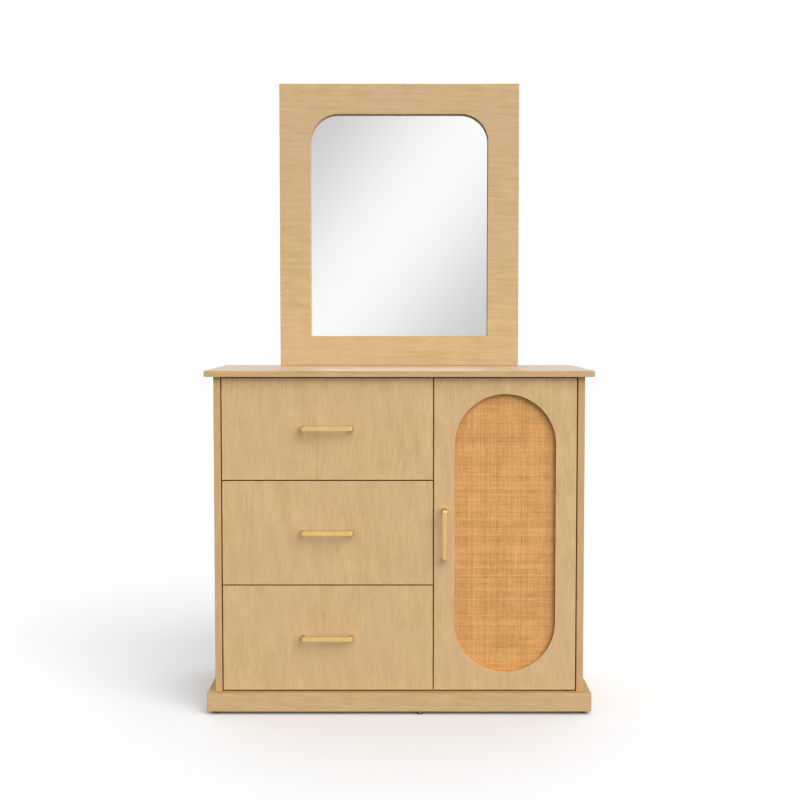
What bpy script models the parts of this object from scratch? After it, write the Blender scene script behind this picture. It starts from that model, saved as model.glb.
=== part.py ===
"""A dresser: a chest with three drawers and a door, and a framed mirror standing on its top.

Metres. X runs to the right, the front faces -Y and Z is up. The origin is on the floor, at the middle
of the width and of the overall depth, handles included. Each drawer and the door hang under an empty
that stands on their joint: a drawer's slide runs along -Y, and the door turns about the upright line
through its two pivot pins.
"""

import math

import bmesh
import bpy
from mathutils import Matrix

# Whole chest
TOP_WIDTH = 1.000
TOP_DEPTH = 0.480
TOP_THICKNESS = 0.016
TOP_HEIGHT = 0.890
TOP_OVERHANG = 0.016        # of the top board in front of the drawer fronts and the side panels
CHEST_WIDTH = 0.955
BOARD = 0.018               # side panels, divider, bottom, fronts, door and posts
BACK_THICKNESS = 0.004
BACK_INSET = 0.0015         # of the back panel from the top board's rear edge
EDGE = 0.001                # eased edge of a board
FIT = 0.0003                # between two pieces that touch

# Skirting and feet
PLINTH_TOP = 0.056
PLINTH_BOTTOM = 0.008
PLINTH_THICKNESS = 0.019
FOOT_RADIUS = 0.014
FOOT_SPREAD_X = 0.474
FOOT_FRONT_Y = -0.204
FOOT_BACK_Y = 0.224
MIDDLE_FOOT_X = 0.053
MIDDLE_FOOT_RADIUS = 0.009

# Fronts
GAP = 0.003                 # between fronts, and between a front and what frames it
FRONT_BOTTOM = 0.060
SPLIT_X = 0.0882            # middle of the gap between the drawers and the door
DRAWER_HEIGHTS = (("bottom", 0.273), ("middle", 0.269), ("top", 0.263))

# Drawer boxes and their slides
SLIDE_SPACE = 0.0127        # beside a drawer box, on each side
SLIDE_SHEET = 0.0015
SLIDE_HEIGHT = 0.045
SLIDE_LENGTH = 0.400
SLIDE_RISE = 0.092          # of a slide's middle above its front's lower edge
BOX_SIDE = 0.013
BOX_HEIGHT = 0.200
BOX_LENGTH = 0.420
BOX_RISE = 0.022            # of the box above its front's lower edge
DRAWER_BOTTOM = 0.005
GROOVE_DEPTH = 0.006
GROOVE_RISE = 0.010         # of the groove above the box's lower edge

# Handles
HANDLE_LENGTH = 0.135
HANDLE_REACH = 0.032
HANDLE_FACE = 0.0116
HANDLE_BAR = 0.0055
HANDLE_LEG = 0.007
HANDLE_CORNER = 0.009
HANDLE_FILLET = 0.006
HANDLE_RAISE = 0.003        # of a drawer handle above the middle of its front
DOOR_HANDLE_INSET = 0.0271  # from the door's free edge
DOOR_HANDLE_Z = 0.468

# Door
PANE_RADIUS = 0.130
PANE_HEIGHT = 0.723
PANE_Z = 0.4675
PANE_REBATE = 0.012
PANE_REBATE_DEPTH = 0.006
CANE_THICKNESS = 0.0035
PIVOT_INSET = 0.018         # of the pivot line from the door's hinged edge
PIN_RADIUS = 0.003
PIN_SLEEVE_RADIUS = 0.005
PIN_SLEEVE_LENGTH = 0.020
PIN_REACH = 0.0075          # of the pin into its bush
COLLAR_RADIUS = 0.007
BUSH_RADIUS = 0.006
BUSH_BORE = 0.0035
BUSH_LENGTH = 0.009
BUSH_FLANGE_RADIUS = 0.008
BUSH_FLANGE = 0.0007
CATCH_SIZE = (0.014, 0.040, 0.036)
CATCH_Z = 0.800
STRIKE_SIZE = (0.015, 0.0015, 0.040)

# Shelf
SHELF_THICKNESS = 0.016
SHELF_Z = 0.465
SHELF_SETBACK = 0.076

# Mirror
MIRROR_WIDTH = 0.680
MIRROR_TOP = 1.688
MIRROR_FRONT_Y = 0.198
MIRROR_THICKNESS = 0.028
MIRROR_OPENING_WIDTH = 0.504
MIRROR_OPENING_BOTTOM = 0.974
MIRROR_OPENING_TOP = 1.603
MIRROR_CORNER = 0.078
MIRROR_REBATE = 0.012
MIRROR_REBATE_DEPTH = 0.0075
GLASS_THICKNESS = 0.004
MIRROR_BACKING = 0.003
POST_WIDTH = 0.060
POST_HEIGHT = 0.560
POST_X = 0.305

# Places that follow from the sizes
BACK_Y = (TOP_DEPTH + HANDLE_REACH - TOP_OVERHANG) / 2
TOP_FRONT_Y = BACK_Y - TOP_DEPTH
FACE_Y = TOP_FRONT_Y + TOP_OVERHANG
FRONT_BACK_Y = FACE_Y + BOARD
PANEL_BACK_Y = BACK_Y - BACK_INSET - BACK_THICKNESS - FIT
HALF = CHEST_WIDTH / 2
INNER = HALF - BOARD
UNDER_TOP = TOP_HEIGHT - TOP_THICKNESS
FRONT_TOP = UNDER_TOP - GAP
FRONT_LEFT = -INNER + GAP
DOOR_RIGHT = INNER - GAP
DOOR_LEFT = SPLIT_X + GAP / 2
DOOR_MIDDLE = (DOOR_LEFT + DOOR_RIGHT) / 2
DRAWERS_RIGHT = SPLIT_X - GAP / 2
DIVIDER_LEFT = SPLIT_X - BOARD / 2
DIVIDER_RIGHT = SPLIT_X + BOARD / 2
BOX_LEFT = -INNER + SLIDE_SPACE
BOX_RIGHT = DIVIDER_LEFT - SLIDE_SPACE
BOX_BACK_Y = FRONT_BACK_Y + BOX_LENGTH
PIVOT_X = DOOR_RIGHT - PIVOT_INSET
PIVOT_Y = FACE_Y + BOARD / 2
MIRROR_BACK_Y = MIRROR_FRONT_Y + MIRROR_THICKNESS

ROUND_STEPS = 24
UPRIGHT = (math.pi / 2, 0.0, 0.0)   # turns a flat outline to stand in the XZ plane

COLOURS = {
    # name: (colour, roughness, metallic)
    "oak_veneer": ((0.64, 0.45, 0.24), 0.45, 0.0),
    "drawer_board": ((0.72, 0.62, 0.46), 0.55, 0.0),
    "back_board": ((0.70, 0.56, 0.38), 0.6, 0.0),
    "woven_cane": ((0.68, 0.35, 0.12), 0.7, 0.0),
    "satin_brass": ((0.76, 0.56, 0.24), 0.3, 1.0),
    "mirror_glass": ((0.90, 0.91, 0.91), 0.02, 1.0),
    "zinc_steel": ((0.62, 0.63, 0.64), 0.35, 1.0),
    "foot_plastic": ((0.20, 0.13, 0.08), 0.6, 0.0),
}


def empty_file():
    """Take away whatever the scene starts with."""
    for thing in list(bpy.data.objects):
        bpy.data.objects.remove(thing, do_unlink=True)


def new_collection(name):
    collection = bpy.data.collections.new(name)
    bpy.context.scene.collection.children.link(collection)
    return collection


def make_material(name):
    """A plain Principled material in the piece's colour."""
    colour, roughness, metallic = COLOURS[name]
    material = bpy.data.materials.new(name)
    material.use_nodes = True
    shader = material.node_tree.nodes["Principled BSDF"]
    shader.inputs["Base Color"].default_value = (*colour, 1.0)
    shader.inputs["Roughness"].default_value = roughness
    shader.inputs["Metallic"].default_value = metallic
    return material


def piece(name, mesh, at, material, joint=None, turn=(0.0, 0.0, 0.0)):
    """An object in the dresser's collection, with its origin at `at`, under its joint's empty."""
    thing = bpy.data.objects.new(name, mesh)
    bpy.data.collections["dresser"].objects.link(thing)
    thing.rotation_euler = turn
    thing.location = at
    if joint:
        thing.parent = joint
        thing.location = [a - b for a, b in zip(at, joint.location)]
    mesh.materials.clear()
    mesh.materials.append(bpy.data.materials[material])
    return thing


def joint_empty(name, at):
    """An empty on a joint, which carries the pieces that move there."""
    empty = bpy.data.objects.new(name, None)
    empty.empty_display_size = 0.05
    empty.location = at
    bpy.data.collections["dresser"].objects.link(empty)
    return empty


def ease(thing, width=EDGE, segments=2):
    """Round the sharp edges of a board or a bar."""
    bevel = thing.modifiers.new("ease", "BEVEL")
    bevel.width = width
    bevel.segments = segments
    bevel.limit_method = "ANGLE"
    bevel.angle_limit = math.radians(40)


def cube_mesh(name, low, high):
    """A box mesh about its own middle, as large as the space from low to high."""
    size = [b - a for a, b in zip(low, high)]
    shape = bmesh.new()
    bmesh.ops.create_cube(shape, size=1.0, matrix=Matrix.Diagonal((*size, 1.0)))
    mesh = bpy.data.meshes.new(name)
    shape.to_mesh(mesh)
    shape.free()
    return mesh


def middle(low, high):
    return [(a + b) / 2 for a, b in zip(low, high)]


def board(name, low, high, material, joint=None, segments=2):
    """A rectangular board from corner to corner, with eased edges."""
    thing = piece(name, cube_mesh(name, low, high), middle(low, high), material, joint)
    ease(thing, segments=segments)
    return thing


def arc(centre_x, centre_y, radius, start, end, steps):
    """Points of an arc in a flat outline, its angles in degrees."""
    angles = [math.radians(start + (end - start) * i / steps) for i in range(steps + 1)]
    return [(centre_x + radius * math.cos(a), centre_y + radius * math.sin(a)) for a in angles]


def stadium(radius, height):
    """Outline of an upright slot with round ends, about its middle."""
    rise = height / 2 - radius
    return arc(0, rise, radius, 0, 180, 36) + arc(0, -rise, radius, 180, 360, 36)


def arched(half_width, low, high, radius):
    """Outline of an opening with round upper corners and square lower ones."""
    right = arc(half_width - radius, high - radius, radius, 0, 90, 16)
    left = arc(radius - half_width, high - radius, radius, 90, 180, 16)
    return [(-half_width, low), (half_width, low)] + right + left


def outline_mesh(name, points, thickness):
    """A plate with the given outline in its XY plane, its thickness centred on Z."""
    curve = bpy.data.curves.new(name, "CURVE")
    curve.dimensions = "2D"
    curve.fill_mode = "BOTH"
    curve.extrude = thickness / 2
    spline = curve.splines.new("POLY")
    spline.points.add(len(points) - 1)
    for point, (x, y) in zip(spline.points, points):
        point.co = (x, y, 0.0, 1.0)
    spline.use_cyclic_u = True
    guide = bpy.data.objects.new(name, curve)
    bpy.context.scene.collection.objects.link(guide)
    bpy.context.view_layer.update()
    evaluated = guide.evaluated_get(bpy.context.evaluated_depsgraph_get())
    mesh = bpy.data.meshes.new_from_object(evaluated)
    bpy.data.objects.remove(guide, do_unlink=True)
    shape = bmesh.new()
    shape.from_mesh(mesh)
    bmesh.ops.remove_doubles(shape, verts=shape.verts, dist=1e-6)
    bmesh.ops.dissolve_limit(shape, angle_limit=0.002, verts=shape.verts, edges=shape.edges)
    bmesh.ops.recalc_face_normals(shape, faces=shape.faces)
    shape.to_mesh(mesh)
    shape.free()
    return mesh


def cutter(name, mesh, at, turn=(0.0, 0.0, 0.0)):
    """A shape that only cuts others: it is not a piece of the dresser."""
    thing = bpy.data.objects.new(name, mesh)
    bpy.data.collections["cutters"].objects.link(thing)
    thing.location = at
    thing.rotation_euler = turn
    thing.hide_render = True
    thing.display_type = "WIRE"
    return thing


def round_cutter(name, radius, at, length):
    """An upright round bore, centred on `at`."""
    shape = bmesh.new()
    bmesh.ops.create_cone(
        shape,
        cap_ends=True,
        segments=ROUND_STEPS,
        radius1=radius,
        radius2=radius,
        depth=length,
    )
    mesh = bpy.data.meshes.new(name)
    shape.to_mesh(mesh)
    shape.free()
    return cutter(name, mesh, at)


def cut(thing, shape):
    """Cut a cutter's shape out of a piece, before its edges are eased."""
    boolean = thing.modifiers.new("cut_" + shape.name, "BOOLEAN")
    boolean.operation = "DIFFERENCE"
    boolean.object = shape
    thing.modifiers.move(len(thing.modifiers) - 1, 0)


def turned(name, profile, at, material, joint=None, upside_down=False):
    """A turned piece: profile holds (radius, height) points from its top, down its outer side."""
    mesh = bpy.data.meshes.new(name)
    points = [(radius, 0.0, height) for radius, height in profile]
    mesh.from_pydata(points, [(i, i + 1) for i in range(len(points) - 1)], [])
    turn = (math.pi, 0.0, 0.0) if upside_down else (0.0, 0.0, 0.0)
    thing = piece(name, mesh, at, material, joint, turn)
    screw = thing.modifiers.new("turn", "SCREW")
    screw.axis = "Z"
    screw.steps = ROUND_STEPS
    screw.render_steps = ROUND_STEPS
    screw.use_merge_vertices = True
    screw.merge_threshold = 0.00001
    return thing


def ease_cut_board(thing):
    """Settle a board's cuts into its mesh, then ease its outward edges only."""
    bpy.context.view_layer.update()
    evaluated = thing.evaluated_get(bpy.context.evaluated_depsgraph_get())
    mesh = bpy.data.meshes.new_from_object(evaluated)
    thing.modifiers.clear()
    shape = bmesh.new()
    shape.from_mesh(mesh)
    sharp = [edge for edge in shape.edges if edge.calc_face_angle_signed(0.0) > math.radians(40)]
    bmesh.ops.bevel(shape, geom=sharp, offset=EDGE, segments=2, profile=0.5, affect="EDGES")
    shape.to_mesh(mesh)
    shape.free()
    thing.data = mesh


def carcass():
    """The fixed boards of the chest."""
    top = board(
        "top_board",
        (-TOP_WIDTH / 2, TOP_FRONT_Y, UNDER_TOP),
        (TOP_WIDTH / 2, BACK_Y, TOP_HEIGHT),
        "oak_veneer",
    )
    for side, low_x in (("left", -HALF), ("right", INNER)):
        board(
            "side_panel_" + side,
            (low_x, FACE_Y, PLINTH_BOTTOM),
            (low_x + BOARD, PANEL_BACK_Y, UNDER_TOP - FIT),
            "oak_veneer",
        )
    board(
        "divider_panel",
        (DIVIDER_LEFT, FRONT_BACK_Y + 2 * FIT, PLINTH_TOP + FIT),
        (DIVIDER_RIGHT, PANEL_BACK_Y, UNDER_TOP - FIT),
        "oak_veneer",
    )
    bottom = board(
        "bottom_panel",
        (-INNER + FIT, FACE_Y, PLINTH_TOP - BOARD),
        (INNER - FIT, PANEL_BACK_Y, PLINTH_TOP),
        "oak_veneer",
    )
    board(
        "back_panel",
        (-HALF, PANEL_BACK_Y + FIT, PLINTH_TOP - BOARD),
        (HALF, BACK_Y - BACK_INSET, UNDER_TOP - FIT),
        "back_board",
        segments=1,
    )
    board(
        "shelf",
        (DIVIDER_RIGHT + FIT, FACE_Y + SHELF_SETBACK, SHELF_Z),
        (INNER - FIT, PANEL_BACK_Y, SHELF_Z + SHELF_THICKNESS),
        "oak_veneer",
    )
    bore_radius = BUSH_RADIUS + FIT
    for board_cut, name, face, way in (
        (top, "upper", UNDER_TOP, 1),
        (bottom, "lower", PLINTH_TOP, -1),
    ):
        depth = BUSH_LENGTH + FIT
        at = (PIVOT_X, PIVOT_Y, face + way * (depth - EDGE) / 2)
        cut(board_cut, round_cutter("bush_hole_" + name, bore_radius, at, depth + EDGE))


def skirting():
    """The boards round the foot of the chest, mitred at the front corners."""
    inner = HALF + FIT
    outer = inner + PLINTH_THICKNESS
    inner_y = FACE_Y - FIT
    outer_y = inner_y - PLINTH_THICKNESS
    height = PLINTH_TOP - PLINTH_BOTTOM
    middle_z = (PLINTH_TOP + PLINTH_BOTTOM) / 2
    front = [(-outer + FIT, outer_y), (outer - FIT, outer_y), (inner - FIT, inner_y), (-inner + FIT, inner_y)]
    mesh = outline_mesh("plinth_front", front, height)
    ease(piece("plinth_front", mesh, (0.0, 0.0, middle_z), "oak_veneer"))
    for side, way in (("left", -1), ("right", 1)):
        points = [
            (way * inner, inner_y),
            (way * outer, outer_y),
            (way * outer, PANEL_BACK_Y),
            (way * inner, PANEL_BACK_Y),
        ]
        mesh = outline_mesh("plinth_" + side, points, height)
        ease(piece("plinth_" + side, mesh, (0.0, 0.0, middle_z), "oak_veneer"))
    board(
        "plinth_back",
        (-INNER + FIT, PANEL_BACK_Y - BOARD, PLINTH_BOTTOM),
        (INNER - FIT, PANEL_BACK_Y, PLINTH_TOP - BOARD - FIT),
        "oak_veneer",
    )


def foot(name, x, y, radius):
    """A turned glide under the skirting."""
    height = PLINTH_BOTTOM - FIT
    profile = [
        (0.0, height),
        (radius, height),
        (radius, height * 0.35),
        (radius - 0.0012, 0.0),
        (0.0, 0.0),
    ]
    turned(name, profile, (x, y, 0.0), "foot_plastic")


def feet():
    for side, x in (("left", -FOOT_SPREAD_X), ("right", FOOT_SPREAD_X)):
        foot("foot_front_" + side, x, FOOT_FRONT_Y, FOOT_RADIUS)
        foot("foot_back_" + side, x, FOOT_BACK_Y, FOOT_RADIUS)
    front_middle_y = FACE_Y - FIT - PLINTH_THICKNESS / 2
    foot("foot_front_middle", MIDDLE_FOOT_X, front_middle_y, MIDDLE_FOOT_RADIUS)


def handle_mesh(name):
    """A flat bar bent to a D: its legs stand along +Y from the front, its length lies along X."""
    half = HANDLE_LENGTH / 2
    reach = HANDLE_REACH - FIT
    corner = HANDLE_CORNER
    fillet = HANDLE_FILLET
    inner = half - HANDLE_LEG
    under = reach - HANDLE_BAR
    points = [(half, 0.0)]
    points += arc(half - corner, reach - corner, corner, 0, 90, 5)
    points += arc(corner - half, reach - corner, corner, 90, 180, 5)
    points += [(-half, 0.0), (-inner, 0.0)]
    points += arc(fillet - inner, under - fillet, fillet, 180, 90, 5)
    points += arc(inner - fillet, under - fillet, fillet, 90, 0, 5)
    points += [(inner, 0.0)]
    return outline_mesh(name, points, HANDLE_FACE)


def handle(name, x, z, upright, joint):
    turn = (math.pi, -math.pi / 2 if upright else 0.0, 0.0)
    thing = piece(name, handle_mesh(name), (x, FACE_Y - FIT, z), "satin_brass", joint, turn)
    ease(thing, width=0.0008)


def slide_channel(name, outline, way, face_x, start_y, z, joint=None):
    """One member of a slide: a bent strip along Y. `way` is 1 on the left side, -1 on the right."""
    points = [(way * x, y) for x, y in outline]
    mesh = outline_mesh(name, points, SLIDE_LENGTH)
    at = (face_x, start_y + SLIDE_LENGTH / 2, z)
    piece(name, mesh, at, "zinc_steel", joint, UPRIGHT)


def channel_outline(web_x, lip_x, half_height):
    """Section of a channel: an upright web at web_x and two lips that reach to lip_x."""
    sheet = SLIDE_SHEET if lip_x > web_x else -SLIDE_SHEET
    return [
        (web_x, -half_height),
        (lip_x, -half_height),
        (lip_x, -half_height + SLIDE_SHEET),
        (web_x + sheet, -half_height + SLIDE_SHEET),
        (web_x + sheet, half_height - SLIDE_SHEET),
        (lip_x, half_height - SLIDE_SHEET),
        (lip_x, half_height),
        (web_x, half_height),
    ]


def drawer_side(name, way, outer_x, bottom_z, groove_height, joint):
    """A side of the drawer box with the groove that holds the drawer's bottom."""
    inner = way * BOX_SIDE
    notch = way * (BOX_SIDE - GROOVE_DEPTH)
    groove_top = GROOVE_RISE + groove_height
    points = [
        (0.0, 0.0),
        (inner, 0.0),
        (inner, GROOVE_RISE),
        (notch, GROOVE_RISE),
        (notch, groove_top),
        (inner, groove_top),
        (inner, BOX_HEIGHT),
        (0.0, BOX_HEIGHT),
    ]
    length = BOX_LENGTH - FIT
    mesh = outline_mesh(name, points, length)
    at = (outer_x, FRONT_BACK_Y + FIT + length / 2, bottom_z)
    piece(name, mesh, at, "drawer_board", joint, UPRIGHT)


def drawer(level, low_z, height):
    """One drawer: its front, box, handle and moving slide members, and the fixed ones."""
    name = "drawer_" + level
    joint = joint_empty(name + "_slide", (0.0, FACE_Y, low_z))
    front = board(
        name + "_front",
        (FRONT_LEFT, FACE_Y, low_z),
        (DRAWERS_RIGHT, FRONT_BACK_Y, low_z + height),
        "oak_veneer",
        joint,
    )
    box_z = low_z + BOX_RISE
    groove_z = box_z + GROOVE_RISE
    groove_height = DRAWER_BOTTOM + 2 * FIT
    inner_left = BOX_LEFT + BOX_SIDE
    inner_right = BOX_RIGHT - BOX_SIDE
    low = (inner_left - GROOVE_DEPTH, FRONT_BACK_Y - GROOVE_DEPTH, groove_z)
    high = (inner_right + GROOVE_DEPTH, FRONT_BACK_Y + EDGE, groove_z + groove_height)
    groove = cutter(name + "_groove", cube_mesh(name + "_groove", low, high), middle(low, high))
    cut(front, groove)
    drawer_side(name + "_side_left", 1, BOX_LEFT, box_z, groove_height, joint)
    drawer_side(name + "_side_right", -1, BOX_RIGHT, box_z, groove_height, joint)
    floor_z = groove_z + FIT
    board(
        name + "_bottom",
        (inner_left - GROOVE_DEPTH + FIT, FRONT_BACK_Y - GROOVE_DEPTH + FIT, floor_z),
        (inner_right + GROOVE_DEPTH - FIT, BOX_BACK_Y, floor_z + DRAWER_BOTTOM),
        "back_board",
        joint,
        segments=1,
    )
    board(
        name + "_back",
        (inner_left + FIT, BOX_BACK_Y - BOX_SIDE, floor_z + DRAWER_BOTTOM + FIT),
        (inner_right - FIT, BOX_BACK_Y, box_z + BOX_HEIGHT),
        "drawer_board",
        joint,
        segments=1,
    )
    handle_x = (FRONT_LEFT + DRAWERS_RIGHT) / 2
    handle(name + "_handle", handle_x, low_z + height / 2 + HANDLE_RAISE, False, joint)

    half = SLIDE_HEIGHT / 2
    fixed = channel_outline(FIT, 0.0093, half)
    moving_web = SLIDE_SPACE - FIT
    moving = channel_outline(moving_web, 2 * SLIDE_SHEET + FIT, half - 2 * SLIDE_SHEET)
    slide_z = low_z + SLIDE_RISE
    for side, way, face_x in (("left", 1, -INNER), ("right", -1, DIVIDER_LEFT)):
        rail = "rail_" + level + "_" + side
        slide_channel(rail, fixed, way, face_x, FRONT_BACK_Y + 0.008, slide_z)
        slide = name + "_slide_" + side
        slide_channel(slide, moving, way, face_x, FRONT_BACK_Y + 0.003, slide_z, joint)


def pivot(name, door_edge, board_face, up, joint):
    """A pin in the door's edge and its bush in the board beyond, both about the pivot line."""
    gap = abs(board_face - door_edge)
    flange = BUSH_FLANGE + FIT
    pin_top = gap - flange + PIN_REACH
    profile = [
        (0.0, pin_top),
        (PIN_RADIUS, pin_top),
        (PIN_RADIUS, gap - flange - FIT),
        (COLLAR_RADIUS, gap - flange - FIT),
        (COLLAR_RADIUS, FIT),
        (PIN_SLEEVE_RADIUS, FIT),
        (PIN_SLEEVE_RADIUS, -PIN_SLEEVE_LENGTH),
        (0.0, -PIN_SLEEVE_LENGTH),
    ]
    at = (PIVOT_X, PIVOT_Y, door_edge)
    turned("pivot_pin_" + name, profile, at, "zinc_steel", joint, upside_down=not up)
    bore_end = BUSH_LENGTH - flange
    profile = [
        (0.0, BUSH_LENGTH),
        (BUSH_RADIUS, BUSH_LENGTH),
        (BUSH_RADIUS, -FIT),
        (BUSH_FLANGE_RADIUS, -FIT),
        (BUSH_FLANGE_RADIUS, -flange),
        (BUSH_BORE, -flange),
        (BUSH_BORE, bore_end),
        (0.0, bore_end),
    ]
    at = (PIVOT_X, PIVOT_Y, board_face)
    turned("pivot_bush_" + name, profile, at, "zinc_steel", upside_down=not up)


def door():
    """The door: a board with a slot-shaped window, its cane panel, handle, pins and strike plate."""
    joint = joint_empty("door_pivot", (PIVOT_X, PIVOT_Y, FRONT_BOTTOM))
    panel = board(
        "door_panel",
        (DOOR_LEFT, FACE_Y, FRONT_BOTTOM),
        (DOOR_RIGHT, FRONT_BACK_Y, FRONT_TOP),
        "oak_veneer",
        joint,
    )
    panel.modifiers.clear()
    window = outline_mesh("window", stadium(PANE_RADIUS, PANE_HEIGHT), 3 * BOARD)
    cut(panel, cutter("window", window, (DOOR_MIDDLE, PIVOT_Y, PANE_Z), UPRIGHT))
    rebate_radius = PANE_RADIUS + PANE_REBATE
    rebate_height = PANE_HEIGHT + 2 * PANE_REBATE
    rebate = outline_mesh("rebate", stadium(rebate_radius, rebate_height), 2 * PANE_REBATE_DEPTH)
    cut(panel, cutter("rebate", rebate, (DOOR_MIDDLE, FRONT_BACK_Y, PANE_Z), UPRIGHT))
    for name, edge, way in (("upper", FRONT_TOP, -1), ("lower", FRONT_BOTTOM, 1)):
        depth = PIN_SLEEVE_LENGTH + FIT
        at = (PIVOT_X, PIVOT_Y, edge + way * (depth - EDGE) / 2)
        cut(panel, round_cutter("pin_hole_" + name, PIN_SLEEVE_RADIUS + FIT, at, depth + EDGE))
    ease_cut_board(panel)
    cane = outline_mesh(
        "cane_panel",
        stadium(rebate_radius - FIT, rebate_height - 2 * FIT),
        CANE_THICKNESS,
    )
    cane_y = FRONT_BACK_Y - PANE_REBATE_DEPTH + FIT + CANE_THICKNESS / 2
    piece("cane_panel", cane, (DOOR_MIDDLE, cane_y, PANE_Z), "woven_cane", joint, UPRIGHT)
    handle("door_handle", DOOR_LEFT + DOOR_HANDLE_INSET, DOOR_HANDLE_Z, True, joint)
    pivot("upper", FRONT_TOP, UNDER_TOP, True, joint)
    pivot("lower", FRONT_BOTTOM, PLINTH_TOP, False, joint)

    left = DIVIDER_RIGHT + FIT
    strike_y = FRONT_BACK_Y + FIT
    strike_back_y = strike_y + STRIKE_SIZE[1]
    board(
        "strike_plate",
        (left, strike_y, CATCH_Z - STRIKE_SIZE[2] / 2),
        (left + STRIKE_SIZE[0], strike_back_y, CATCH_Z + STRIKE_SIZE[2] / 2),
        "zinc_steel",
        joint,
        segments=1,
    ).modifiers["ease"].width = FIT
    catch_y = strike_back_y + 2 * FIT
    board(
        "door_catch",
        (left, catch_y, CATCH_Z - CATCH_SIZE[2] / 2),
        (left + CATCH_SIZE[0], catch_y + CATCH_SIZE[1], CATCH_Z + CATCH_SIZE[2] / 2),
        "foot_plastic",
        segments=1,
    )


def mirror():
    """The framed mirror, with the two posts that hold it up on the top board."""
    base = TOP_HEIGHT + FIT
    frame = board(
        "mirror_frame",
        (-MIRROR_WIDTH / 2, MIRROR_FRONT_Y, base),
        (MIRROR_WIDTH / 2, MIRROR_BACK_Y, MIRROR_TOP),
        "oak_veneer",
    )
    frame.modifiers.clear()
    half = MIRROR_OPENING_WIDTH / 2
    window = arched(half, MIRROR_OPENING_BOTTOM, MIRROR_OPENING_TOP, MIRROR_CORNER)
    window = outline_mesh("mirror_window", window, 3 * MIRROR_THICKNESS)
    cut(frame, cutter("mirror_window", window, (0.0, MIRROR_BACK_Y, 0.0), UPRIGHT))

    def rebate_outline(play):
        """The rebate's outline, smaller by `play` all round."""
        grow = MIRROR_REBATE - play
        low = MIRROR_OPENING_BOTTOM - grow
        high = MIRROR_OPENING_TOP + grow
        return arched(half + grow, low, high, MIRROR_CORNER + grow)

    rebate = outline_mesh("mirror_rebate", rebate_outline(0.0), 2 * MIRROR_REBATE_DEPTH)
    cut(frame, cutter("mirror_rebate", rebate, (0.0, MIRROR_BACK_Y, 0.0), UPRIGHT))
    ease_cut_board(frame)

    glass_y = MIRROR_BACK_Y - MIRROR_REBATE_DEPTH + FIT
    glass = outline_mesh("mirror_glass", rebate_outline(FIT), GLASS_THICKNESS)
    glass_at = (0.0, glass_y + GLASS_THICKNESS / 2, 0.0)
    piece("mirror_glass", glass, glass_at, "mirror_glass", turn=UPRIGHT)
    backing_y = glass_y + GLASS_THICKNESS + FIT
    backing = outline_mesh("mirror_backing", rebate_outline(FIT), MIRROR_BACKING)
    backing_at = (0.0, backing_y + MIRROR_BACKING / 2, 0.0)
    piece("mirror_backing", backing, backing_at, "back_board", turn=UPRIGHT)

    post_y = backing_y + MIRROR_BACKING + 2 * FIT
    for side, x in (("left", -POST_X), ("right", POST_X)):
        board(
            "mirror_post_" + side,
            (x - POST_WIDTH / 2, post_y, base),
            (x + POST_WIDTH / 2, post_y + BOARD, base + POST_HEIGHT),
            "oak_veneer",
            segments=1,
        )


def main():
    empty_file()
    new_collection("dresser")
    new_collection("cutters")
    for name in COLOURS:
        make_material(name)
    carcass()
    skirting()
    feet()
    low_z = FRONT_BOTTOM
    for level, height in DRAWER_HEIGHTS:
        drawer(level, low_z, height)
        low_z += height + GAP
    door()
    mirror()


main()
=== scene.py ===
"""The looks of the dresser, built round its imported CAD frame: metres, -Y is the front, Z is up."""

import math
import random

import bmesh
import bpy
from mathutils import Matrix, Vector


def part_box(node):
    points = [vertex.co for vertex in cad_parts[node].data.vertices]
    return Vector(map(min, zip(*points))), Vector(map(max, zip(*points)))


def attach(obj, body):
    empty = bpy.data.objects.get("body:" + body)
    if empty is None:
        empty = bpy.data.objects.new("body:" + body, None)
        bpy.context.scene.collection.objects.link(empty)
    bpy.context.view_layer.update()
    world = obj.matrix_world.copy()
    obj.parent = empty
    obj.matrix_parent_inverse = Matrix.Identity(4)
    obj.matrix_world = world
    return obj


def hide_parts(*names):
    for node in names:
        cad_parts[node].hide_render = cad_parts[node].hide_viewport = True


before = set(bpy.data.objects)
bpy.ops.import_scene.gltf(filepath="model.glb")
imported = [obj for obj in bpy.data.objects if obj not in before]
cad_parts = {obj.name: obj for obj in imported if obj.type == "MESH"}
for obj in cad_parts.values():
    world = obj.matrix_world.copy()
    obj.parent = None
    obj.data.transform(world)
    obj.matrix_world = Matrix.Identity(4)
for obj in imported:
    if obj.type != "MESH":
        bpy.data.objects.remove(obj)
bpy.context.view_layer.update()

FIT = 0.0003                    # the gap that touching pieces keep
LEVELS = ("bottom", "middle", "top")
SIDES = ("left", "right")
FACING = {
    "back": Vector((0, 1, 0)),
    "left": Vector((-1, 0, 0)),
    "right": Vector((1, 0, 0)),
    "up": Vector((0, 0, 1)),
}
INWARD = {"left": FACING["right"], "right": FACING["left"]}

# Camera, as the object was photographed
CAMERA_AHEAD = 3.4997           # of the top board's front edge
CAMERA_X = 0.002
CAMERA_HEIGHT = 1.016
CAMERA_PITCH = 3.282            # degrees down
CAMERA_LENS = 61.73             # focal length in mm, on a 36 mm sensor

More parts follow.
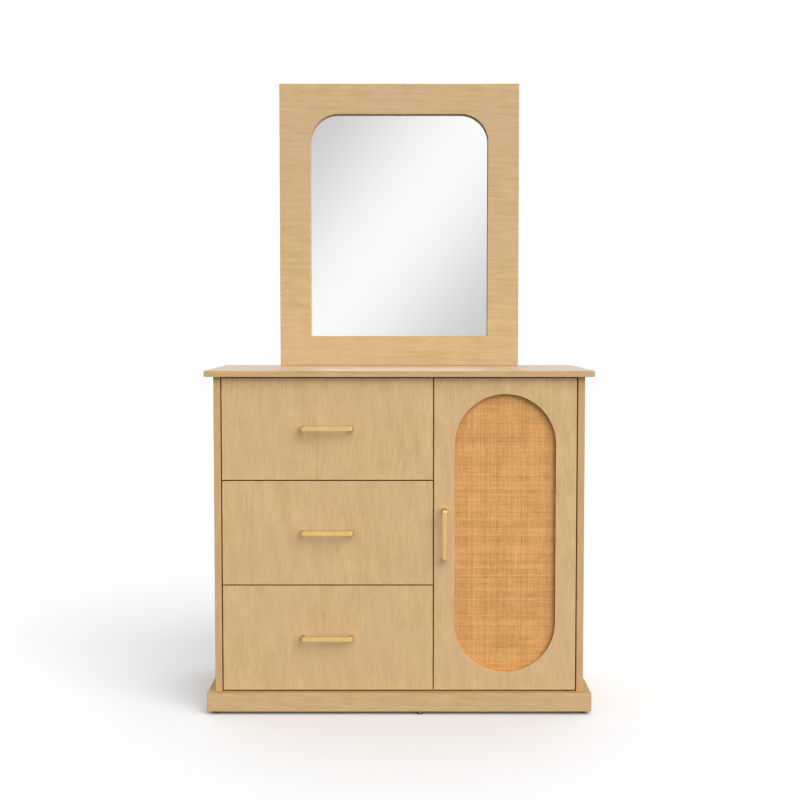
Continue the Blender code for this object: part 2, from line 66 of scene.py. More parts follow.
# Studio. A light of 1.0 makes plain white.
FLOOR_RADIUS = 60.0
WALL_LIGHT = 0.55               # all round
CEILING_LIGHT = 0.22            # added overhead
SIDE_LIGHT = 0.12               # added on the right, taken away on the left
BELOW_LIGHT = 0.18              # under the horizon, in place of the wall's
BEHIND_LIGHT = 0.78             # added high up behind the object
FILL_LIGHT = 1.04               # added in front, to the right
FILL_TOWARDS = (0.42, -0.91, 0.0)
STRIP_LIGHT = 0.46              # added in the slanting strip that the mirror shows
STRIP_FALLOFF = 1.9
STRIP_ACROSS = (7.8, -0.43, -6.25)
KEY_FROM_RIGHT = 37.0           # degrees to the right of straight ahead
KEY_RISE = 44.0                 # degrees above level
KEY_SPREAD = 50.0               # degrees across
KEY_POWER = 1.34

# Colours. SHADES are the two that a material varies between.
FLOOR_SHADES = ((0.805, 0.816, 0.826), (0.790, 0.801, 0.811))
BOX_BOARD_SHADES = ((0.74, 0.66, 0.53), (0.66, 0.57, 0.43))
HARDBOARD_SHADES = ((0.62, 0.47, 0.30), (0.45, 0.32, 0.19))
LEVEL_BRASS_SHADES = ((0.745, 0.515, 0.205), (0.685, 0.460, 0.170))
# the same brass as the drawer handles, painted darker to take off the extra light that the upright bar
# catches
UPRIGHT_BRASS_PAINTED_DARKER = ((0.705, 0.485, 0.185), (0.645, 0.435, 0.155))
SILVER_SHADES = ((0.945, 0.95, 0.95), (0.935, 0.94, 0.945))
ZINC_SHADES = ((0.66, 0.67, 0.68), (0.55, 0.56, 0.58))
BRONZE_SHADES = ((0.420, 0.300, 0.180), (0.330, 0.230, 0.130))
PLASTIC_SHADES = ((0.16, 0.10, 0.06), (0.11, 0.07, 0.04))
CANE_SHADES = ((0.96, 0.525, 0.185), (0.50, 0.220, 0.055))
CANE_FLECK = (0.34, 0.15, 0.04)
OAK_LIGHT = (0.740, 0.510, 0.248)
OAK_DARK = (0.530, 0.335, 0.140)
OAK_PINK = (0.680, 0.450, 0.255)
OAK_PORE = (0.345, 0.210, 0.085)

# Tones, which multiply the oak's colour
PLAIN = (1.0, 1.0, 1.0)
# the top's face: painted shade that offsets the extra light it gets from above, with a cool cast as
# painted whitish sheen
TOP_FACE_PAINTED_SHADE_AND_SHEEN = (0.77, 0.81, 0.90)
TOP_EDGE = (0.88, 0.83, 0.73)
MIRROR_FACE = (0.945, 0.960, 0.975)
PLINTH_FACE = (0.94, 0.93, 0.91)
# the plinth's edges: their own deeper colour, with painted shade on the ledge and ends
PLINTH_EDGE_PAINTED_SHADE = (0.68, 0.63, 0.55)
GAP_EDGE_PAINTED_BOUNCE = (1.00, 0.82, 0.59)       # of a board whose edges look into gaps: their own deeper colour, with a warm cast painted in for the light bounced round in the gaps' shade
FRONT_EDGE = (0.93, 0.88, 0.80)     # of a board whose edges stay in view
OPENING_PAINTED_SHADE = (0.33, 0.24, 0.06)   # painted shade: the deep tone of an opening's walls that face away from the key light
PAINTED_SHADE_FACING = (-0.8, 0.0, -0.6)   # the direction faced by those walls that take the full painted shade

# Cane
STRAND_PITCH = 0.0035
STRAND_WIDTH = 0.0032
STRAND_LIFT = 0.00042           # of a strand above and below the weave's middle
STRAND_CROWN = 0.00022          # of a strand's middle above its edges
BACKING_DEPTH = 0.0012          # of the board behind the weave
BEAD_WIDTH = 0.0105
BEAD_DEPTH = 0.0018

# Fixings. A head, a cover and a collar are each a radius and a height.
CROSS = (1.0, 0.52, 0.34, 0.52)  # shares of its radius that a cross recess reaches, going round
PAN_HEAD = (0.0040, 0.0022)
SLIDE_HEAD = (0.0035, 0.0013)
FLAT_HEAD = (0.0026, 0.0003)
NAIL_HEAD = (0.0030, 0.0010)
BRAD_HEAD = (0.0011, 0.0003)
HANDLE_HOLES = 0.064            # of a handle's holes from its middle
SLIDE_SHEET = 0.0015
SLIDE_SCREWS = (0.08, 0.5, 0.92)  # shares of a slide member's length
PLATE_INSET = 0.008             # of the catch's and the strike plate's screws from its ends
SHELF_PIN_RADIUS = 0.0025
SHELF_PIN_LENGTH = 0.0085
SHELF_PIN_TIP = 0.0007          # height of the pin's sloping end
SHELF_PIN_COLLAR = (0.0045, 0.0012)
SHELF_PIN_DROP = 0.0048         # of a pin's axis below the shelf
SHELF_PIN_INSETS = (0.030, 0.040)  # from the shelf's front and back edges
CAM_COVER = (0.0085, 0.0012)
CAM_INSETS = (0.010, 0.060)     # from the same edges
CAM_DEPTH = 0.034               # from the bottom panel and from the top board
NAIL_PITCH = 0.115
NAIL_INSET = 0.009
POST_SCREWS = (0.16, 0.5, 0.84)  # shares of a mirror post's height
BRACKET_LEG = 0.034
BRACKET_SHEET = 0.002
BRACKET_WIDTH = 0.014
BRACKET_BEND = 0.003
BRACKET_HOLE = 0.7              # share of a leg's length from the corner to its screw
BUTTON_LENGTH = 0.024
BUTTON_WIDTH = 0.010
BUTTON_SHEET = 0.0012
BUTTON_REACH = 0.004            # of a turn button's middle beyond the backing's edge
BUTTON_SCREW = 0.003            # of its screw beyond its middle
BUTTON_SPREAD = 0.17            # between the turn buttons along the top and the bottom
BUTTON_ABOVE_POST = 0.045       # of the side turn buttons above the posts' tops


# ---------------------------------------------------------------- node helpers


class Nodes:
    """The node tree of a material or a world, written one step at a time."""

    def __init__(self, owner):
        self.owner = owner
        owner.use_nodes = True
        self.tree = owner.node_tree
        self.shader = self.tree.nodes.get("Principled BSDF")

    def add(self, kind, **settings):
        node = self.tree.nodes.new("ShaderNode" + kind)
        for key, value in settings.items():
            setattr(node, key, value)
        return node

    def link(self, source, target):
        self.tree.links.new(source, target)

    def fill(self, socket, value):
        """Link an output, or set a constant."""
        if isinstance(value, bpy.types.NodeSocket):
            self.link(value, socket)
        else:
            socket.default_value = value

    def place(self, stretch, shift=(0.0, 0.0, 0.0)):
        """Object coordinates, scaled along each axis and shifted."""
        coordinates = self.add("TexCoord")
        mapping = self.add("Mapping")
        self.link(coordinates.outputs["Object"], mapping.inputs["Vector"])
        mapping.inputs["Scale"].default_value = stretch
        mapping.inputs["Location"].default_value = shift
        return mapping.outputs["Vector"]

    def noise(self, where, scale=1.0, detail=2.0, roughness=0.5, distortion=0.0):
        node = self.add("TexNoise")
        self.link(where, node.inputs["Vector"])
        node.inputs["Scale"].default_value = scale
        node.inputs["Detail"].default_value = detail
        node.inputs["Roughness"].default_value = roughness
        node.inputs["Distortion"].default_value = distortion
        return node.outputs["Fac"]

    def math(self, operation, a, b=0.0, clamp=False):
        node = self.add("Math", operation=operation, use_clamp=clamp)
        self.fill(node.inputs[0], a)
        self.fill(node.inputs[1], b)
        return node.outputs[0]

    def spread(self, value, low, high, to_low=0.0, to_high=1.0):
        """The value's range from low to high, stretched to another range and held there."""
        node = self.add("MapRange")
        self.fill(node.inputs["Value"], value)
        node.inputs["From Min"].default_value = low
        node.inputs["From Max"].default_value = high
        node.inputs["To Min"].default_value = to_low
        node.inputs["To Max"].default_value = to_high
        return node.outputs["Result"]

    def mix(self, factor, a, b, blend="MIX"):
        node = self.add("Mix", data_type="RGBA", blend_type=blend)
        self.fill(node.inputs["Factor"], factor)
        for socket, value in ((node.inputs[6], a), (node.inputs[7], b)):
            if isinstance(value, tuple):
                socket.default_value = (*value, 1.0)
            else:
                self.link(value, socket)
        return node.outputs[2]

    def bump(self, height, distance, strength=1.0):
        node = self.add("Bump")
        self.link(height, node.inputs["Height"])
        node.inputs["Distance"].default_value = distance
        node.inputs["Strength"].default_value = strength
        self.link(node.outputs["Normal"], self.shader.inputs["Normal"])

    def finish(self, colour, roughness, metallic=0.0):
        self.fill(self.shader.inputs["Base Color"], colour)
        self.fill(self.shader.inputs["Roughness"], roughness)
        self.fill(self.shader.inputs["Metallic"], metallic)
        return self.owner


def new_material(name):
    return Nodes(bpy.data.materials.new(name))


# ---------------------------------------------------------------- materials


def drawn_out(axis, share):
    """The scale that draws a pattern out along an axis, where it runs at a share of its pace."""
    return tuple(share if name == axis else 1.0 for name in "xyz")


def dot(nodes, vector, towards):
    """How far a vector looks towards a direction."""
    node = nodes.add("VectorMath", operation="DOT_PRODUCT")
    nodes.link(vector, node.inputs[0])
    node.inputs[1].default_value = towards
    return node.outputs["Value"]


def inside_box(nodes, box):
    """1 where a point's X and Z lie within a box, 0 elsewhere."""
    split = nodes.add("SeparateXYZ")
    nodes.link(nodes.place(PLAIN), split.inputs[0])
    within = []
    for axis in "xz":
        low, high = (getattr(corner, axis) for corner in box)
        offset = nodes.math("SUBTRACT", split.outputs[axis.upper()], (low + high) / 2)
        half = (high - low) / 2
        within.append(nodes.spread(nodes.math("ABSOLUTE", offset), half, half + 0.001, 1.0, 0.0))
    return nodes.math("MULTIPLY", *within)


def oak_veneer(name, grain, face, shift, tone=PLAIN, edge=PLAIN, lacquer=0.0, opening=None):
    """Light oak veneer: fibres, pores and pin stripes along the grain, arched figure, slow drift.

    The board's broad faces look along the face axis. They take one tone, its edges another, and the
    walls of its opening, which lie within the box given for it, a deeper one where they face away from
    the light: painted shade.
    """
    nodes = new_material(name)
    along = nodes.place(drawn_out(grain, 0.025), shift)
    fibres = nodes.noise(along, scale=760.0, detail=2.0, roughness=0.6)
    pores = nodes.noise(along, scale=1500.0, detail=1.0)
    wavy = nodes.place(drawn_out(grain, 0.09), shift)
    stripes = nodes.noise(wavy, scale=230.0, detail=3.0, roughness=0.7, distortion=0.8)
    mottle = nodes.noise(nodes.place(drawn_out(grain, 0.50), shift), scale=30.0, detail=4.0)
    drift = nodes.noise(nodes.place(PLAIN, shift), scale=5.0, detail=2.0)
    near_shift = tuple(0.11 * offset for offset in shift)
    wave = nodes.add("TexWave", wave_type="RINGS", rings_direction="SPHERICAL")
    nodes.link(nodes.place(drawn_out(grain, 0.11), near_shift), wave.inputs["Vector"])
    wave.inputs["Scale"].default_value = 15.0
    wave.inputs["Distortion"].default_value = 7.0
    wave.inputs["Detail"].default_value = 3.0
    wave.inputs["Detail Scale"].default_value = 1.8
    rings = wave.outputs["Fac"]

    shade = nodes.spread(fibres, 0.3, 0.7, -0.24, 0.24)
    shade = nodes.math("ADD", shade, nodes.spread(stripes, 0.3, 0.7, -0.25, 0.25))
    shade = nodes.math("ADD", shade, nodes.spread(mottle, 0.3, 0.7, -0.20, 0.20))
    shade = nodes.math("ADD", shade, nodes.spread(rings, 0.0, 1.0, -0.07, 0.07))
    shade = nodes.math("ADD", shade, 0.36, clamp=True)
    colour = nodes.mix(shade, OAK_LIGHT, OAK_DARK)
    colour = nodes.mix(nodes.spread(drift, 0.36, 0.64, 0.0, 0.5), colour, OAK_PINK)
    pore = nodes.spread(pores, 0.60, 0.72)
    pore = nodes.math("MULTIPLY", pore, nodes.spread(rings, 0.2, 0.9, 0.12, 0.32))
    colour = nodes.mix(pore, colour, OAK_PORE)
    normal = nodes.add("TexCoord").outputs["Normal"]
    across = tuple(float(name == face) for name in "xyz")
    facing = nodes.math("ABSOLUTE", dot(nodes, normal, across))
    on_edge = nodes.spread(facing, 0.60, 0.75, 1.0, 0.0)
    if opening:
        # painted shade on the opening's walls that face away from the light, only inside the opening's
        # box
        painted_shade = nodes.spread(dot(nodes, normal, PAINTED_SHADE_FACING), 0.0, 0.8)
        painted_shade = nodes.math("MULTIPLY", painted_shade, inside_box(nodes, opening))
        edge = nodes.mix(painted_shade, edge, OPENING_PAINTED_SHADE)
    colour = nodes.mix(1.0, colour, nodes.mix(on_edge, tone, edge), blend="MULTIPLY")

    height = nodes.math("SUBTRACT", nodes.math("MULTIPLY", fibres, 0.5), pore)
    nodes.bump(height, 0.00012, 0.5)
    nodes.shader.inputs["Specular IOR Level"].default_value = 0.45
    nodes.shader.inputs["Coat Weight"].default_value = lacquer
    nodes.shader.inputs["Coat Roughness"].default_value = 0.34
    gloss = nodes.spread(stripes, 0.3, 0.7, 0.34, 0.44)
    return nodes.finish(colour, nodes.math("ADD", gloss, nodes.math("MULTIPLY", on_edge, 0.35)))


def pale_board(name, light, dark):
    """Foil-faced board inside the drawers: a faint printed grain along Y."""
    nodes = new_material(name)
    streaks = nodes.noise(nodes.place(drawn_out("y", 0.04)), scale=90.0, detail=3.0)
    speck = nodes.noise(nodes.place(PLAIN), scale=420.0, detail=1.0)
    shade = nodes.math("ADD", nodes.math("MULTIPLY", streaks, 0.8), nodes.math("MULTIPLY", speck, 0.2))
    colour = nodes.mix(nodes.spread(shade, 0.36, 0.64), light, dark)
    nodes.bump(speck, 0.00006, 0.4)
    return nodes.finish(colour, nodes.spread(speck, 0.3, 0.7, 0.5, 0.62))


def hardboard(name, light, dark):
    """Thin fibreboard: short fibres pressed every way, a little mottled."""
    nodes = new_material(name)
    fibres = nodes.noise(nodes.place(PLAIN), scale=900.0, detail=4.0, roughness=0.7)
    mottle = nodes.noise(nodes.place(PLAIN), scale=38.0, detail=3.0)
    shade = nodes.math("ADD", nodes.math("MULTIPLY", fibres, 0.8), nodes.math("MULTIPLY", mottle, 0.2))
    colour = nodes.mix(nodes.spread(shade, 0.38, 0.62), light, dark)
    nodes.bump(fibres, 0.0001, 0.5)
    return nodes.finish(colour, nodes.spread(fibres, 0.3, 0.7, 0.6, 0.75))


def cane(name, light, dark, fleck_colour):
    """Split cane: each strand has its own tone, streaked along and flecked with darker skin."""
    nodes = new_material(name)
    tone = nodes.add("Attribute", attribute_name="strand").outputs["Fac"]
    along = nodes.add("Attribute", attribute_name="along").outputs["Fac"]
    where = nodes.add("CombineXYZ")
    nodes.link(along, where.inputs["X"])
    nodes.link(nodes.math("MULTIPLY", tone, 400.0), where.inputs["Y"])
    bands = nodes.noise(where.outputs["Vector"], scale=26.0, detail=3.0)
    flecks = nodes.noise(nodes.place(PLAIN), scale=520.0, detail=2.0)
    patches = nodes.noise(nodes.place(PLAIN), scale=16.0, detail=2.0)
    shade = nodes.math("ADD", nodes.math("MULTIPLY", tone, 0.34), nodes.math("MULTIPLY", bands, 0.95))
    shade = nodes.math("ADD", shade, nodes.spread(patches, 0.3, 0.7, -0.07, 0.07))
    colour = nodes.mix(nodes.spread(shade, 0.25, 1.05), dark, light)
    fleck = nodes.math("MULTIPLY", nodes.spread(flecks, 0.62, 0.72), 0.35)
    colour = nodes.mix(fleck, colour, fleck_colour)
    nodes.bump(flecks, 0.00008, 0.5)
    nodes.shader.inputs["Specular IOR Level"].default_value = 0.3
    return nodes.finish(colour, nodes.spread(bands, 0.3, 0.7, 0.55, 0.7))


def brass(name, brushed, light, dark):
    """Satin brass, brushed along the bar."""
    nodes = new_material(name)
    lines = nodes.noise(nodes.place(drawn_out(brushed, 0.02)), scale=2600.0, detail=2.0)
    film = nodes.noise(nodes.place(PLAIN), scale=60.0, detail=2.0)
    colour = nodes.mix(nodes.spread(film, 0.3, 0.7), light, dark)
    nodes.bump(lines, 0.00001, 0.35)
    return nodes.finish(colour, nodes.spread(lines, 0.3, 0.7, 0.26, 0.36), 1.0)


def silvered_glass(name, light, dark):
    """Mirror glass: silver behind float glass, with the faintest cloud in its sheen."""
    nodes = new_material(name)
    cloud = nodes.noise(nodes.place(PLAIN), scale=2.5, detail=1.0)
    colour = nodes.mix(nodes.spread(cloud, 0.3, 0.7), light, dark)
    return nodes.finish(colour, nodes.spread(cloud, 0.3, 0.7, 0.004, 0.012), 1.0)


def plated_steel(name, light, dark):
    """Plated steel with the cloudy spangle of plating."""
    nodes = new_material(name)
    spangle = nodes.noise(nodes.place(PLAIN), scale=160.0, detail=2.0)
    scratch = nodes.noise(nodes.place(drawn_out("y", 0.02)), scale=2200.0, detail=1.0)
    colour = nodes.mix(nodes.spread(spangle, 0.3, 0.7), light, dark)
    nodes.bump(scratch, 0.00001, 0.3)
    return nodes.finish(colour, nodes.spread(spangle, 0.3, 0.7, 0.26, 0.40), 1.0)


def plastic(name, light, dark):
    """Moulded plastic with a fine spark-eroded grain."""
    nodes = new_material(name)
    grain = nodes.noise(nodes.place(PLAIN), scale=1400.0, detail=2.0)
    colour = nodes.mix(nodes.spread(grain, 0.3, 0.7), light, dark)
    nodes.bump(grain, 0.00005, 0.5)
    return nodes.finish(colour, nodes.spread(grain, 0.3, 0.7, 0.45, 0.6))


def dress(node, material):
    """Give a CAD node its material."""
    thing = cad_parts[node]
    thing.data.materials.clear()
    thing.data.materials.append(material)


def soften(node):
    """Shade a CAD node's rounded edges smoothly, its flat faces staying flat."""
    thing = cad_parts[node]
    weld = thing.modifiers.new("weld", "WELD")
    weld.merge_threshold = 0.00001
    normals = thing.modifiers.new("normals", "WEIGHTED_NORMAL")
    normals.keep_sharp = True
    for polygon in thing.data.polygons:
        polygon.use_smooth = True


# ---------------------------------------------------------------- dressing the CAD nodes


def dress_boards():
    """Oak on every board: grain, broad face, face tone, edge tone and lacquer of each."""
    boards = {
        "top_board": ("x", "z", TOP_FACE_PAINTED_SHADE_AND_SHEEN, TOP_EDGE, 1.0),
        "bottom_panel": ("x", "z", PLAIN, GAP_EDGE_PAINTED_BOUNCE, 0.0),
        "shelf": ("x", "z", PLAIN, FRONT_EDGE, 0.0),
        "mirror_frame": ("x", "y", MIRROR_FACE, FRONT_EDGE, 0.0),
        "divider_panel": ("z", "x", PLAIN, GAP_EDGE_PAINTED_BOUNCE, 0.0),
        "door_panel": ("z", "y", PLAIN, GAP_EDGE_PAINTED_BOUNCE, 0.0),
        "plinth_front": ("x", "y", PLINTH_FACE, PLINTH_EDGE_PAINTED_SHADE, 0.0),
        "plinth_back": ("x", "y", PLAIN, PLAIN, 0.0),
    }
    for side in SIDES:
        boards["side_panel_" + side] = ("z", "x", PLAIN, FRONT_EDGE, 0.0)
        boards["plinth_" + side] = ("y", "x", PLINTH_FACE, PLINTH_EDGE_PAINTED_SHADE, 0.0)
        boards["mirror_post_" + side] = ("z", "y", PLAIN, FRONT_EDGE, 0.0)
    for level in LEVELS:
        boards[f"drawer_{level}_front"] = ("z", "y", PLAIN, GAP_EDGE_PAINTED_BOUNCE, 0.0)
    # the boxes within which an opening's walls take the painted shade
    openings = {"door_panel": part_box("cane_panel"), "mirror_frame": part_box("mirror_glass")}
    for number, (node, (grain, face, tone, edge, lacquer)) in enumerate(boards.items()):
        shift = (1.7 * number, 2.3 * number, 3.1 * number)
        veneer = oak_veneer("oak_" + node, grain, face, shift, tone, edge, lacquer, openings.get(node))
        dress(node, veneer)
        soften(node)


def dress_the_rest(back, steel, brown):
    """Materials of the drawer boxes, the metal, the glass and the plastic."""
    box_board = pale_board("drawer_board", *BOX_BOARD_SHADES)
    level_brass = brass("satin_brass_level", "x", *LEVEL_BRASS_SHADES)
    upright_brass = brass("satin_brass_upright", "z", *UPRIGHT_BRASS_PAINTED_DARKER)
    for level in LEVELS:
        drawer = "drawer_" + level
        for node in ("side_left", "side_right", "back"):
            dress(f"{drawer}_{node}", box_board)
        dress(drawer + "_bottom", back)
        dress(drawer + "_handle", level_brass)
        soften(drawer + "_handle")
        for side in SIDES:
            dress(f"{drawer}_slide_{side}", steel)
            dress(f"rail_{level}_{side}", steel)
    dress("door_handle", upright_brass)
    soften("door_handle")
    for node in ("back_panel", "mirror_backing"):
        dress(node, back)
    dress("mirror_glass", silvered_glass("mirror_glass", *SILVER_SHADES))
    bronzed = plated_steel("bronzed_steel", *BRONZE_SHADES)
    for end in ("upper", "lower"):
        dress("pivot_bush_" + end, bronzed)
        dress("pivot_pin_" + end, bronzed)
        soften("pivot_bush_" + end)
        soften("pivot_pin_" + end)
    dress("strike_plate", steel)
    soften("strike_plate")
    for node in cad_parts:
        if node.startswith("foot_") or node == "door_catch":
            dress(node, brown)
            soften(node)


# ---------------------------------------------------------------- pieces made here


def piece(name, shape, body, material, ease=0.0):
    """Turn a bmesh into a piece of the object that rides on a body."""
    mesh = bpy.data.meshes.new(name)
    bmesh.ops.recalc_face_normals(shape, faces=shape.faces)
    shape.to_mesh(mesh)
    shape.free()
    thing = bpy.data.objects.new(name, mesh)
    bpy.context.scene.collection.objects.link(thing)
    mesh.materials.append(material)
    mesh.shade_smooth()
    mesh.set_sharp_from_angle(angle=math.radians(35))
    if ease:
        bevel = thing.modifiers.new("ease", "BEVEL")
        bevel.width = ease
        bevel.segments = 2
        bevel.limit_method = "ANGLE"
        bevel.harden_normals = True
    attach(thing, body)
    return thing


def bridge(shape, ring, following):
    """Join two rings of vertices, either of which may be a single point."""
    count = max(len(ring), len(following))
    for i in range(count):
        after = (i + 1) % count
        corners = [ring[i % len(ring)], ring[after % len(ring)]]
        corners += [following[after % len(following)], following[i % len(following)]]
        shape.faces.new(list(dict.fromkeys(corners)))


def add_turned(shape, place, facing, profile, segments=16):
    """Add a turned solid from radii and heights. A third value makes an entry a cross's outline."""
    matrix = Matrix.Translation(place) @ facing.to_track_quat("Z", "Y").to_matrix().to_4x4()
    rings = []
    for radius, height, *cross in profile:
        ring = []
        for i in range(segments if radius else 1):
            angle = 2 * math.pi * i / segments
            reach = radius * CROSS[i % len(CROSS)] if cross else radius
            point = Vector((reach * math.cos(angle), reach * math.sin(angle), height))
            ring.append(shape.verts.new(matrix @ point))
        rings.append(ring)
    for ring, following in zip(rings, rings[1:]):
        bridge(shape, ring, following)


def add_screw(shape, place, facing, head):
    """Add a screw's head with its cross recess, standing on the surface at place."""
    radius, height = head
    rim = height * 0.35             # also the height of the recess's floor
    add_turned(
        shape,
        place,
        facing,
        (
            (0.0, 0.0),
            (radius, 0.0),
            (radius, rim),
            (radius * 0.86, height * 0.80),
            (radius * 0.62, height),
            (radius * 0.56, height, "cross"),
            (radius * 0.44, rim, "cross"),
            (0.0, rim),
        ),
    )


def add_nail(shape, place, facing, head):
    """Add a nail's low domed head."""
    radius, height = head
    dome = ((0.0, 0.0), (1.0, 0.0), (1.0, 0.25), (0.85, 0.65), (0.5, 0.92), (0.0, 1.0))
    profile = [(radius * r, height * h) for r, h in dome]
    add_turned(shape, place, facing, profile, segments=12)


def add_outline(shape, outline, corner, first, second, depth):
    """Add an outline's solid: its points lie along two directions from a corner, depth goes across."""
    rings = []
    for way in (Vector((0.0, 0.0, 0.0)), depth):
        rings.append([shape.verts.new(corner + first * a + second * b + way) for a, b in outline])
    bridge(shape, rings[0], rings[1])
    for ring in rings:
        shape.faces.new(ring)


def round_ended(length, width, steps=6):
    """Outline of a strip with round ends, its middle at the origin."""
    radius = width / 2
    points = []
    for centre, start in ((length / 2 - radius, -90), (radius - length / 2, 90)):
        for i in range(steps + 1):
            angle = math.radians(start + 180 * i / steps)
            points.append((centre + radius * math.cos(angle), radius * math.sin(angle)))
    return points


def slot_half_width(z, radius, half_height):
    """Half the width, at a height from its middle, of an upright slot with round ends."""
    beyond = max(0.0, abs(z) - (half_height - radius))
    return math.sqrt(max(0.0, radius * radius - beyond * beyond))


def slot_half_height(x, radius, half_height):
    """Half the height, at a distance from its middle line, of the same slot."""
    return half_height - radius + math.sqrt(max(0.0, radius * radius - x * x))


def add_strand(shape, layers, to_place, reach, offset, phase, tone):
    """Add a strand of the weave: a crowned strip that goes over and under the strands across it.

    Those lie a pitch apart, at whole numbers plus the offset, and the strand goes over each
    whose number makes an odd sum with the phase.
    """
    tone_layer, along_layer = layers
    rows = []
    first = math.ceil(-reach / STRAND_PITCH - offset)
    last = math.floor(reach / STRAND_PITCH - offset)
    for crossing in range(first, last + 1):
        along = (crossing + offset) * STRAND_PITCH
        lift = STRAND_LIFT if (crossing + phase) % 2 else -STRAND_LIFT
        row = []
        for across, crown in ((-0.5, 0.0), (0.0, STRAND_CROWN), (0.5, 0.0)):
            vertex = shape.verts.new(to_place(along, across * STRAND_WIDTH, lift + crown))
            vertex[tone_layer] = tone
            vertex[along_layer] = along
            row.append(vertex)
        rows.append(row)
    for row, following in zip(rows, rows[1:]):
        bridge(shape, row, following)
    shape.faces.new(rows[0])
    shape.faces.new(rows[-1])


def woven_cane():
    """The cane in the door's window: flat strands in a plain weave, level and upright."""
    low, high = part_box("cane_panel")
    centre = (low + high) / 2
    radius = (high.x - low.x) / 2 - STRAND_PITCH / 2
    half_height = (high.z - low.z) / 2 - STRAND_PITCH / 2
    middle_y = high.y - BACKING_DEPTH - FIT - STRAND_LIFT
    rng = random.Random(7)
    shape = bmesh.new()
    layers = (shape.verts.layers.float.new("strand"), shape.verts.layers.float.new("along"))
    columns = int(2 * radius / STRAND_PITCH)
    lines = int(2 * half_height / STRAND_PITCH)
    first_column = -(columns - 1) / 2
    first_line = -(lines - 1) / 2

    def upright(x):
        return lambda along, across, lift: (centre.x + x + across, middle_y - lift, centre.z + along)

    def level(z):
        return lambda along, across, lift: (centre.x + along, middle_y - lift, centre.z + z - across)

    for column in range(columns):
        x = (first_column + column) * STRAND_PITCH
        reach = slot_half_height(x, radius, half_height)
        add_strand(shape, layers, upright(x), reach, first_line % 1, column, rng.random())
    for line in range(lines):
        z = (first_line + line) * STRAND_PITCH
        reach = slot_half_width(z, radius, half_height)
        add_strand(shape, layers, level(z), reach, first_column % 1, line + 1, rng.random())
    material = cane("woven_cane", *CANE_SHADES, CANE_FLECK)
    weave = piece("woven_cane", shape, "door", material)
    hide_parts("cane_panel")


def slot_outline(half_width, half_height):
    """Outline of an upright slot: the height comes first in each point, the width second."""
    return round_ended(2 * half_height, 2 * half_width, steps=24)


def cane_backing(board, oak, steel):
    """Behind the weave: the board it is stretched on, and the bead pinned round it."""
    low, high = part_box("cane_panel")
    centre = (low + high) / 2
    half_width = (high.x - low.x) / 2
    half_height = (high.z - low.z) / 2
    across = FACING["right"]
    up = FACING["up"]
    shape = bmesh.new()
    corner = Vector((centre.x, high.y - BACKING_DEPTH, centre.z))
    outer = slot_outline(half_width, half_height)
    add_outline(shape, outer, corner, up, across, FACING["back"] * BACKING_DEPTH)
    piece("cane_backing", shape, "door", board)

    shape = bmesh.new()
    rings = []
    inner = slot_outline(half_width - BEAD_WIDTH, half_height - BEAD_WIDTH)
    near = high.y + FIT
    far = near + BEAD_DEPTH
    for outline, y in ((outer, near), (inner, near), (inner, far), (outer, far)):
        rings.append([shape.verts.new((centre.x + b, y, centre.z + a)) for a, b in outline])
    for ring, following in zip(rings, rings[1:] + rings[:1]):
        bridge(shape, ring, following)
    piece("cane_bead", shape, "door", oak, ease=0.0004)

    shape = bmesh.new()
    pinned = slot_outline(half_width - BEAD_WIDTH / 2, half_height - BEAD_WIDTH / 2)
    straight = half_height - half_width
    round_ends = [(b, a) for a, b in pinned[4::8]]
    sides = []
    for z in (-0.7 * straight, 0.0, 0.7 * straight):
        sides += [(BEAD_WIDTH / 2 - half_width, z), (half_width - BEAD_WIDTH / 2, z)]
    for x, z in round_ends + sides:
        add_nail(shape, Vector((centre.x + x, far, centre.z + z)), FACING["back"], BRAD_HEAD)
    piece("cane_bead_pins", shape, "door", steel)


def handle_screws(shape, handle, board, along):
    """The two screws that hold a handle, on the back of its board."""
    low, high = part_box(handle)
    centre = (low + high) / 2
    centre.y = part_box(board)[1].y
    for way in (-1, 1):
        add_screw(shape, centre + along * way * HANDLE_HOLES, FACING["back"], PAN_HEAD)


def channel_screws(shape, node, facing):
    """Screws inside a slide's member, through its web and facing its open side."""
    low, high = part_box(node)
    web = (low.x if facing.x > 0 else high.x) + facing.x * SLIDE_SHEET
    for share in SLIDE_SCREWS:
        place = Vector((web, low.y + share * (high.y - low.y), (low.z + high.z) / 2))
        add_screw(shape, place, facing, SLIDE_HEAD)


def slide_fixings(steel):
    """The screws of the drawers' handles and slides, and of the fixed rails."""
    rails = bmesh.new()
    for level in LEVELS:
        drawer = "drawer_" + level
        shape = bmesh.new()
        handle_screws(shape, drawer + "_handle", drawer + "_front", FACING["right"])
        for side in SIDES:
            channel_screws(shape, f"{drawer}_slide_{side}", FACING[side])
            channel_screws(rails, f"rail_{level}_{side}", INWARD[side])
        piece(drawer + "_screws", shape, drawer, steel)
    piece("rail_screws", rails, "cabinet", steel)


def door_fixings(steel):
    """The screws on the back of the door: the handle's and the strike plate's."""
    shape = bmesh.new()
    handle_screws(shape, "door_handle", "door_panel", FACING["up"])
    low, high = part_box("strike_plate")
    for z in (low.z + PLATE_INSET, high.z - PLATE_INSET):
        add_screw(shape, Vector(((low.x + high.x) / 2, high.y, z)), FACING["back"], FLAT_HEAD)
    piece("door_screws", shape, "door", steel)


